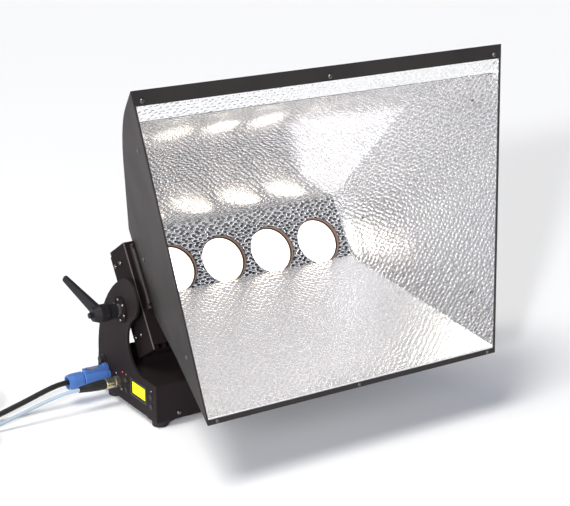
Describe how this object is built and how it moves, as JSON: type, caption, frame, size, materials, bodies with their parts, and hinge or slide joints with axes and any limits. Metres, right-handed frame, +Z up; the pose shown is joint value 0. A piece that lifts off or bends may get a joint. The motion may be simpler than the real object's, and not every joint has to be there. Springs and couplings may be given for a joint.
{
  "type": "cyclorama light",
  "caption": "Floor-standing wall-wash light with a splayed hammered reflector hood, a finned lamp head tilting between curved side plates, a clamping lever and locking leads.",
  "frame": {"origin": "on the floor under the middle of the light without its cords, feet at z = 0", "axes": "+X across the hood (the controls are on the -X side), -Y the way the light shines, +Z up"},
  "size_m": [1.0442, 0.5506, 0.6171],
  "materials": {
    "black_sheet": "satin black paint on aluminium sheet, slightly warm",
    "base_sheet": "fine satin black paint on aluminium",
    "hammered_reflector": "bright hammered aluminium",
    "strip_reflector": "bright hammered aluminium",
    "cast_black": "black anodised aluminium",
    "rim_gold": "satin warm rim",
    "cup_reflector": "satin inner reflector",
    "diffuser": "white glowing diffuser",
    "lamp_board": "white circuit board",
    "steel_screw": "dark bright steel",
    "steel_bright": "turned steel",
    "rubber_black": "moulded rubber",
    "friction": "pressed friction material",
    "plastic_black": "fine moulded plastic",
    "button_black": "smooth plastic",
    "display_yellow": "lit yellow display",
    "lamp_red": "small red lamp",
    "lamp_clear": "small clear lamps",
    "electronics": "circuit board with its parts",
    "supply_case": "closed power supply",
    "lever_black": "glass-filled plastic, slightly rough",
    "lever_blue_black": "dark moulded button",
    "plug_blue": "blue moulded plastic",
    "nickel": "nickel plate",
    "cord_black": "smooth black sheath",
    "cord_grey": "smooth light grey-blue sheath"
  },
  "bodies": {
    "base": {"base_pan": "base_sheet", "base_cover": "base_sheet", "side_plate_left": "base_sheet", "side_plate_right": "base_sheet", "rubber_feet": "rubber_black", "case_screws": "steel_screw", "panel_screws": "steel_screw", "power_supply": "supply_case", "driver_board": "electronics", "control_board": "electronics", "display_module": "display_yellow", "power_inlet": "plastic_black", "data_socket": "plastic_black", "fuse_holder": "plastic_black", "status_lamps": "lamp_clear", "signal_lamp": "lamp_red", "pivot_flanges": "cast_black", "friction_discs": "friction", "power_plug": "plug_blue", "data_plug_shell": "nickel", "data_plug_boot": "plastic_black", "power_lead": "cord_black", "power_lead_coil": "cord_black", "mains_plug": "plastic_black", "data_cable": "cord_grey", "data_cable_coil": "cord_grey", "data_far_plug": "nickel", "coil_ties": "plastic_black"},
    "head": {"heat_sink": "cast_black", "end_plate_left": "cast_black", "end_plate_right": "cast_black", "head_screws": "steel_screw", "lamp_plate": "cast_black", "led_modules": "lamp_board", "mixing_cups": "cup_reflector", "diffuser_discs": "diffuser", "window_rings": "rim_gold", "hood_rails": "cast_black", "pivot_stud": "steel_bright", "pivot_bolt": "steel_bright", "hood_side_left": "black_sheet", "hood_side_right": "black_sheet", "hood_top_skin": "black_sheet", "hood_bottom_skin": "black_sheet", "top_flange": "black_sheet", "bottom_flange": "black_sheet", "reflector_top": "hammered_reflector", "reflector_bottom": "hammered_reflector", "reflector_left": "hammered_reflector", "reflector_right": "hammered_reflector", "reflector_strip": "strip_reflector", "reflector_lip": "hammered_reflector"},
    "lever": {"clamp_lever": "lever_black", "lever_core": "steel_bright"},
    "lever_release": {"release_button": "lever_blue_black"},
    "plug_latch": {"power_plug_latch": "nickel"},
    "menu_key": {"button_menu": "button_black"},
    "down_key": {"button_down": "button_black"},
    "up_key": {"button_up": "button_black"},
    "enter_key": {"button_enter": "button_black"}
  },
  "joints": [
    {"name": "head_tilt", "type": "hinge", "parent": "base", "child": "head", "pos_m": [0, 0.13049, 0.178], "axis": [-1, 0, 0], "range_deg": [-14, 58]},
    {"name": "lever_turn", "type": "hinge", "parent": "head", "child": "lever", "pos_m": [-0.27, 0.13049, 0.178], "axis": [1, 0, 0], "range_deg": [-90, 90]},
    {"name": "lever_release", "type": "slide", "parent": "lever", "child": "lever_release", "axis": [1, 0, 0], "range_m": [0, 0.003], "stiffness_N_per_m": 300, "springref_m": -0.002},
    {"name": "latch_slide", "type": "slide", "parent": "base", "child": "plug_latch", "axis": [-1, 0, 0], "range_m": [0, 0.004], "stiffness_N_per_m": 400, "springref_m": -0.002},
    {"name": "menu_press", "type": "slide", "parent": "base", "child": "menu_key", "axis": [1, 0, 0], "range_m": [0, 0.001], "stiffness_N_per_m": 400, "springref_m": -0.0015},
    {"name": "down_press", "type": "slide", "parent": "base", "child": "down_key", "axis": [1, 0, 0], "range_m": [0, 0.001], "stiffness_N_per_m": 400, "springref_m": -0.0015},
    {"name": "up_press", "type": "slide", "parent": "base", "child": "up_key", "axis": [1, 0, 0], "range_m": [0, 0.001], "stiffness_N_per_m": 400, "springref_m": -0.0015},
    {"name": "enter_press", "type": "slide", "parent": "base", "child": "enter_key", "axis": [1, 0, 0], "range_m": [0, 0.001], "stiffness_N_per_m": 400, "springref_m": -0.0015}
  ]
}
